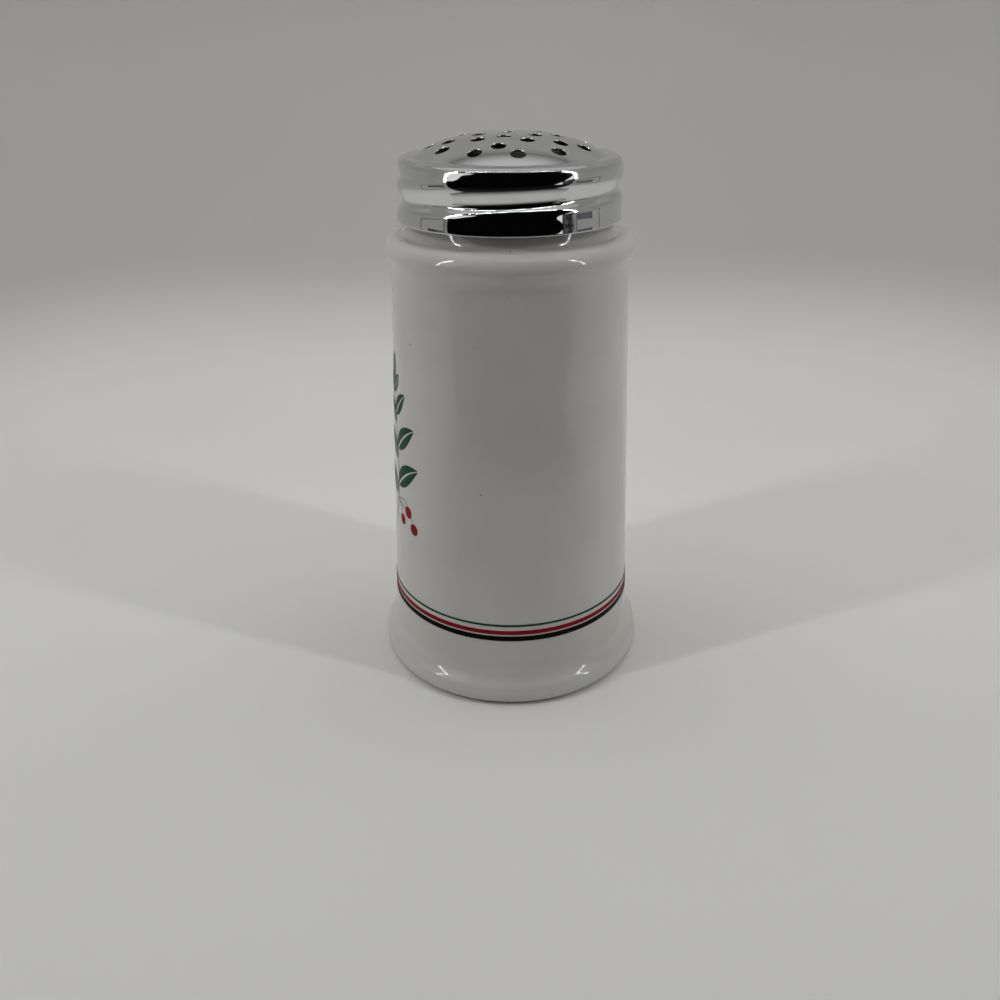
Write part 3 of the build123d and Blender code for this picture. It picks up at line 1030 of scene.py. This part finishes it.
def cap_rows(inset, angle, dome_edge):
    """Rows of one skin of the cap, from the skirt's edge up to where the dome starts."""
    rows = []
    for height in np.linspace(skirt_edge + cap_sheet / 2, roll_low, 66)[:-1]:
        rows.append(turned_row(skirt(height) - inset - groove(angle, height), height, angle))
    for climb in np.linspace(roll_lean, math.pi / 2, 22):
        height = shoulder_height + (roll_radius - inset) * math.sin(climb)
        shoulder = shoulder_centre + (roll_radius - inset) * math.cos(climb)
        pressed = groove(angle, height) * math.cos(climb) ** 2
        rows.append(turned_row(shoulder - pressed, height, angle))
    for radius in np.linspace(shoulder_centre, dome_edge, 20)[1:]:
        rows.append(turned_row(radius, float(dome_skin(radius, inset)), angle))
    return rows


cap_columns = 420
cap_angles = ring_angles(cap_columns)
dome_edge = 25.4
outer_rows = cap_rows(0.0, cap_angles, dome_edge)
inner_rows = cap_rows(cap_sheet, cap_angles, dome_edge)
edge_rows = []
for turn in np.linspace(0, math.pi, 9)[1:-1]:
    height = skirt_edge + cap_sheet / 2 * (1 - math.sin(turn))
    radius = skirt(skirt_edge + cap_sheet / 2) - cap_sheet / 2 * (1 - math.cos(turn))
    radius = radius - groove(cap_angles, skirt_edge + cap_sheet / 2)
    edge_rows.append(turned_row(radius, height, cap_angles))
cap_points, cap_faces = skin(outer_rows[::-1] + edge_rows + inner_rows)
print("cap skins:", len(cap_points), "points")

# %% [markdown]
# ## Holes
# The dome has a middle hole and four rings of punched holes. A boolean cut would leave ragged
# shading round each one, so the dome is laid out flat as a net of triangles that already goes
# round the holes, then lifted onto the dome. Each hole gets a rim that rolls over into its wall.

# %% Hole places and the dome's net
hole_radius, hole_roll, hole_burr = 1.95, 0.2, 0.42
hole_first, hole_pitch, hole_turn = 21.54, 4.23, 260.0
# each ring of holes, from the outside in: how many, and its twist
hole_rings = [(12, 15.0), (6, 0.0), (6, 30.0), (6, 0.0)]
hole_places = [np.zeros(2)]
for ring, (count, twist) in enumerate(hole_rings):
    around = np.radians(hole_turn + twist + 360 * np.arange(count) / count)
    spread = hole_first - ring * hole_pitch
    hole_places += list(spread * np.column_stack([np.cos(around), np.sin(around)]))
hole_angles = ring_angles(44)
hole_circle = np.column_stack([np.cos(hole_angles), np.sin(hole_angles)])
net_pitch, net_row, net_reach = 0.85, 0.866, 34
net_halo, net_gap, net_margin, hole_share = 0.45, 0.85, 0.6, 0.98


def dome_net(clear):
    """Flat points and triangles of the dome, with a clear circle left at every hole."""
    edge = dome_edge * np.column_stack([np.cos(cap_angles), np.sin(cap_angles)])
    loops = [edge] + [spot + clear * hole_circle for spot in hole_places]
    lines, count = [], 0
    for loop in loops:
        lines += [(count + k, count + (k + 1) % len(loop)) for k in range(len(loop))]
        count += len(loop)
    halo = [spot + (clear + net_halo) * hole_circle[::2] for spot in hole_places]
    steps = np.arange(-net_reach, net_reach + 1)
    grid = np.array(
        [(net_pitch * (i + 0.5 * (j % 2)), net_pitch * net_row * j) for j in steps for i in steps]
    )
    gaps = np.min([np.linalg.norm(grid - spot, axis=1) for spot in hole_places], axis=0)
    room = (gaps > clear + net_gap) & (np.linalg.norm(grid, axis=1) < dome_edge - net_margin)
    flat = np.vstack(loops + halo + [grid[room]])
    found = delaunay_2d_cdt([Vector(p) for p in flat], lines, [], 0, 1e-6)
    spots, sides = np.array([tuple(v) for v in found[0]]), found[2]
    middles = np.array([spots[list(side)].mean(axis=0) for side in sides])
    apart = np.min([np.linalg.norm(middles - spot, axis=1) for spot in hole_places], axis=0)
    return spots, [list(side) for side, gap in zip(sides, apart) if gap > clear * hole_share]


print("holes:", len(hole_places))

# %% Lifting the net and rolling the rims
for inset, clear in ((0.0, hole_radius + hole_roll), (cap_sheet, hole_radius + hole_burr)):
    spots, sides = dome_net(clear)
    lifted = np.column_stack([spots, dome_skin(np.linalg.norm(spots, axis=1), inset)])
    cap_faces += [[corner + len(cap_points) for corner in side] for side in sides]
    cap_points += list(map(tuple, lifted))

for spot in hole_places:
    rows = []
    for turn in np.linspace(0, math.pi / 2, 7):
        ring = spot + (hole_radius + hole_roll * (1 - math.sin(turn))) * hole_circle
        upper = dome_skin(np.linalg.norm(ring, axis=1), 0.0)
        rows.append(np.column_stack([ring, upper - hole_roll * (1 - math.cos(turn))]))
    for turn in np.linspace(0, math.pi / 2, 4):
        ring = spot + (hole_radius + hole_burr * (1 - math.cos(turn))) * hole_circle
        lower = dome_skin(np.linalg.norm(ring, axis=1), cap_sheet)
        rows.append(np.column_stack([ring, lower + hole_burr * (1 - math.sin(turn))]))
    more, sides = skin(rows)
    cap_faces += [[corner + len(cap_points) for corner in side] for side in sides]
    cap_points += more
piece("cap", cap_points, cap_faces, chrome, "cap", "cap_chrome", ["shaker_cap"])

# %% [markdown]
# ## Sealing ring
# Under the cap's ledge sits a soft ring that seals on the jar's rim. It is only seen with the cap
# off. A plain washer would look machined, so its edges are rounded and its face is slightly
# dished where the rim has pressed it.

# %% Sealing ring
liner_finish, shader, place = new_finish("liner", {"Specular IOR Level": 0.3})
grain = cloud(place, 0.5, 3.0)
feed(shader, "Base Color", tint(grain, (0.42, 0.38, 0.32, 1), (0.60, 0.56, 0.49, 1)))
feed(shader, "Roughness", 0.65 + 0.25 * cloud(place, 2.0))
feed(shader, "Normal", bump(grain, 0.03, 0.5))

liner_low, liner_high = rim_height, ledge_height - cap_sheet
liner_inner, liner_outer, liner_round, liner_dish = 25.44, 27.54, 0.35, 0.06
inner_round, outer_round = liner_inner + liner_round, liner_outer - liner_round
low_round, high_round = liner_low + liner_round, liner_high - liner_round
liner_outline = joined(
    arc((outer_round, low_round), liner_round, -math.pi / 2, 0, 6),
    arc((outer_round, high_round), liner_round, 0, math.pi / 2, 6),
    arc((inner_round, high_round), liner_round, math.pi / 2, math.pi, 6),
    arc((inner_round, low_round), liner_round, math.pi, 1.5 * math.pi, 6),
    bend((inner_round, liner_low), (1, liner_dish), (outer_round, liner_low), (1, -liner_dish), 10),
)
liner_angles = ring_angles(240)
liner_rows = [turned_row(radius, height, liner_angles) for radius, height in liner_outline]
piece("sealing_ring", *skin(liner_rows), liner_finish, "liner", "liner", ["cap_liner"])
